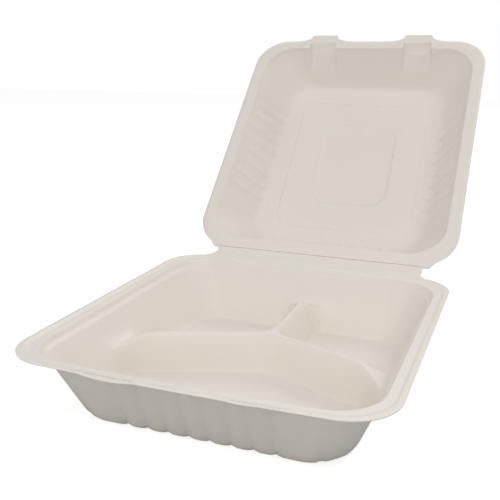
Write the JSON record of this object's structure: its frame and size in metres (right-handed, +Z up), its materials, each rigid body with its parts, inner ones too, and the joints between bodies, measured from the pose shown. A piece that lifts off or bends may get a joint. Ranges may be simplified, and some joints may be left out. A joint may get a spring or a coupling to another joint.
{
  "type": "bagasse clamshell container",
  "caption": "Hinged takeaway food container of moulded bagasse pulp, with a divided tray, locking slots and a lid with tabs.",
  "frame": {"origin": "middle of the tray's flat underside", "axes": "+X along the hinge to the right seen from the front, +Y from the slotted front rim towards the hinge, +Z up"},
  "size_m": [0.23, 0.4364, 0.2309],
  "materials": {
    "pulp": "matt moulded bagasse pulp, unbleached off-white"
  },
  "bodies": {
    "tray": {"tray": "pulp"},
    "lid": {"lid": "pulp"}
  },
  "joints": [
    {"name": "lid_hinge", "type": "hinge", "parent": "tray", "child": "lid", "pos_m": [0, 0.134, 0.04615], "axis": [1, 0, 0], "range_deg": [-45.3, 134.7]}
  ]
}
